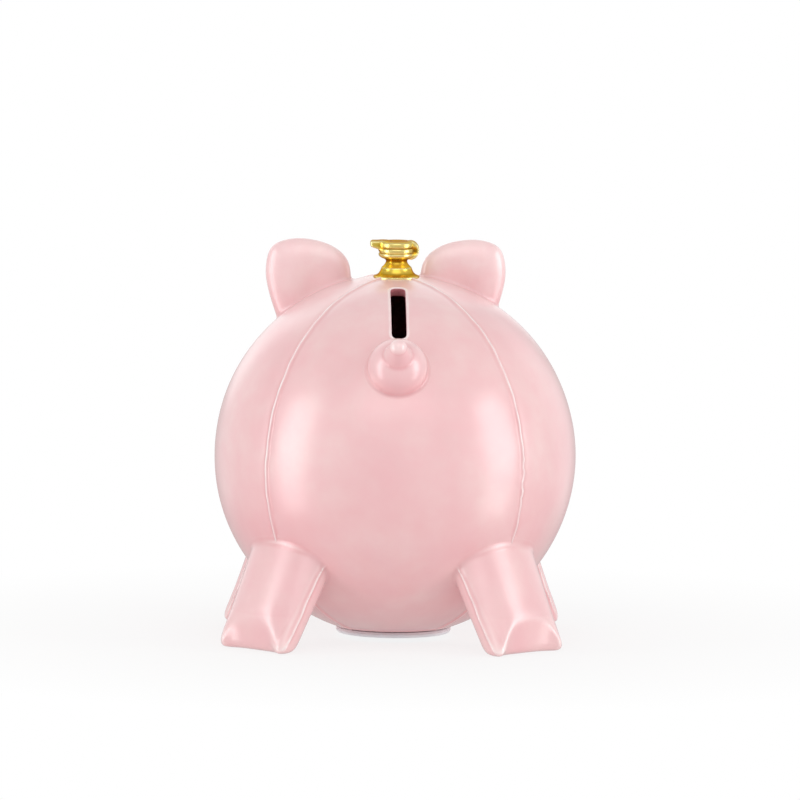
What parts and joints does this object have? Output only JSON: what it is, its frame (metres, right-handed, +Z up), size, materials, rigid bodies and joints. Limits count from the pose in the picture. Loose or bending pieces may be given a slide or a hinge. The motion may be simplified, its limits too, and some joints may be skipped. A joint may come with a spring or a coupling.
{
  "type": "coin bank",
  "caption": "Ceramic coin bank shaped like an inflatable ball pig, with a coin slot above the tail, a gold mock valve on top and a rubber stopper underneath.",
  "frame": {"origin": "on the resting plane, under the centre of the round body", "axes": "+Z up; the snout faces -Y and the tail +Y; +X is the pig's left side"},
  "size_m": [0.14, 0.1505, 0.1541],
  "materials": {
    "pink_glaze": "gloss",
    "gold_lustre": "gloss",
    "black_glaze": "gloss",
    "clear_rubber": "satin"
  },
  "bodies": {
    "bank": {"body_shell": "pink_glaze", "ear_left": "pink_glaze", "ear_right": "pink_glaze", "snout": "pink_glaze", "tail": "pink_glaze", "leg_rear_left": "pink_glaze", "leg_rear_right": "pink_glaze", "leg_front_left": "pink_glaze", "leg_front_right": "pink_glaze", "eye_left": "black_glaze", "eye_right": "black_glaze", "valve_stem": "gold_lustre", "valve_cap": "gold_lustre", "valve_strap": "gold_lustre"},
    "stopper": {"stopper": "clear_rubber"}
  },
  "joints": [
    {"name": "stopper_pull", "type": "slide", "parent": "bank", "child": "stopper", "axis": [0, 0, -1], "range_m": [0, 0.012]}
  ]
}
